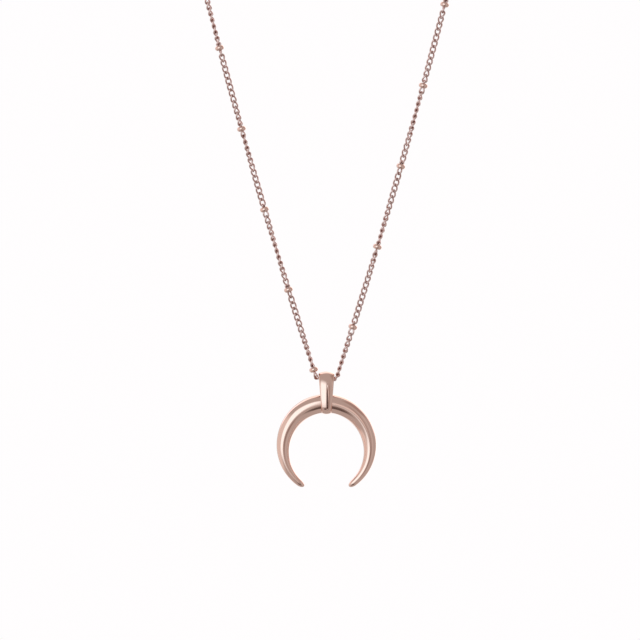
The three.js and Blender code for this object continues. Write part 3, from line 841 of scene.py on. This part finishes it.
def add_card(name, azimuth, elevation, wide, high, level, colour, soft=0.5, distance=1.0):
    """A glowing or dark panel of so many degrees each way that fades out at its edges.

    Soft is how much of its half size the fade takes. Only the metal's reflections see the card.
    """
    x = distance * math.tan(math.radians(wide / 2))
    y = distance * math.tan(math.radians(high / 2))
    mesh = bpy.data.meshes.new(name)
    mesh.from_pydata([(-x, -y, 0), (x, -y, 0), (x, y, 0), (-x, y, 0)], [], [(0, 1, 2, 3)])
    material = bpy.data.materials.new(name)
    material.use_nodes = True
    nodes, links = material.node_tree.nodes, material.node_tree.links
    nodes.clear()
    split = nodes.new("ShaderNodeSeparateXYZ")
    links.new(nodes.new("ShaderNodeTexCoord").outputs["Object"], split.inputs["Vector"])
    fades = []
    for axis, reach in (("X", x), ("Y", y)):
        size = nodes.new("ShaderNodeMath")
        size.operation = "ABSOLUTE"
        links.new(split.outputs[axis], size.inputs[0])
        fade = nodes.new("ShaderNodeMapRange")
        fade.interpolation_type = "SMOOTHSTEP"
        fade.inputs["From Min"].default_value = reach * (1 - soft)
        fade.inputs["From Max"].default_value = reach
        fade.inputs["To Min"].default_value = 1
        fade.inputs["To Max"].default_value = 0
        links.new(size.outputs["Value"], fade.inputs["Value"])
        fades.append(fade.outputs["Result"])
    both = nodes.new("ShaderNodeMath")
    both.operation = "MULTIPLY"
    for socket, fade in zip(both.inputs, fades):
        links.new(fade, socket)
    glow = nodes.new("ShaderNodeEmission")
    glow.inputs["Color"].default_value = (*colour, 1)
    glow.inputs["Strength"].default_value = level
    mix = nodes.new("ShaderNodeMixShader")
    links.new(both.outputs["Value"], mix.inputs["Fac"])
    links.new(nodes.new("ShaderNodeBsdfTransparent").outputs["BSDF"], mix.inputs[1])
    links.new(glow.outputs["Emission"], mix.inputs[2])
    output = nodes.new("ShaderNodeOutputMaterial")
    links.new(mix.outputs["Shader"], output.inputs["Surface"])
    mesh.materials.append(material)
    card = bpy.data.objects.new(name, mesh)
    bpy.context.scene.collection.objects.link(card)
    for ray in ("camera", "diffuse", "transmission", "shadow"):
        setattr(card, f"visible_{ray}", False)
    aim(card, azimuth, elevation, distance)


def add_lights():
    white, pink = (1, 0.985, 0.97), (1, 0.93, 1.0)
    pale, brown = (0.78, 0.94, 1.0), (1, 0.84, 0.79)
    # Each card: azimuth, elevation, width and height in degrees, then level and colour.
    add_card("fill_left", -92, 0, 100, 80, 0.8, white, soft=0.4, distance=1.4)
    add_card("room_back", 180, 0, 100, 100, 1.1, white, soft=0.45, distance=1.4)
    add_card("overhead", 0, 126, 84, 50, 1.3, white, distance=1.35)
    add_card("back_key", 160, 12, 44, 66, 1.7, white, distance=1.25)
    add_card("back_shade", -156, 6, 30, 70, 0.5, white, soft=0.6, distance=1.3)
    add_card("back_fill", -172, 4, 22, 22, 0.85, white, soft=0.6, distance=1.2)
    add_card("back_low", -178, -46, 54, 40, 0.45, white, distance=1.15)
    add_card("back_left", -140, 32, 30, 46, 1.7, pink, distance=1.2)
    add_card("back_right", 128, 28, 30, 50, 1.6, pink, distance=1.2)
    add_card("panel_right", 54, 5, 24, 90, 0.62, white, soft=0.7, distance=1.25)
    add_card("shade_right", 23, 0, 14, 70, 0.41, brown, soft=0.6, distance=1.2)
    add_card("shade_upper_right", 75, 48, 50, 40, 0.39, brown, distance=1.2)
    add_card("fill_right", 8, 4, 26, 22, 0.8, white, soft=0.6, distance=1.15)
    add_card("shade_low", -3, -48, 50, 36, 0.12, brown, distance=1.1)
    add_card("shade_step", -5, -30, 24, 14, 0.21, brown, distance=1.1)
    add_card("shade_low_right", 18, -15, 24, 18, 0.31, brown, distance=1.05)
    add_card("key", -25, 10, 57, 66, 1.62, pale)
    world = bpy.data.worlds.new("studio_room")
    world.use_nodes = True
    background = world.node_tree.nodes["Background"]
    background.inputs["Color"].default_value = (1.0, 0.985, 0.975, 1)
    background.inputs["Strength"].default_value = 0.5
    bpy.context.scene.world = world
    bpy.context.scene.view_settings.view_transform = "Standard"


add_camera()
make_horn()
make_bail()
make_chain()
make_beads()
make_rings()
make_clasp()
add_backdrop()
add_lights()
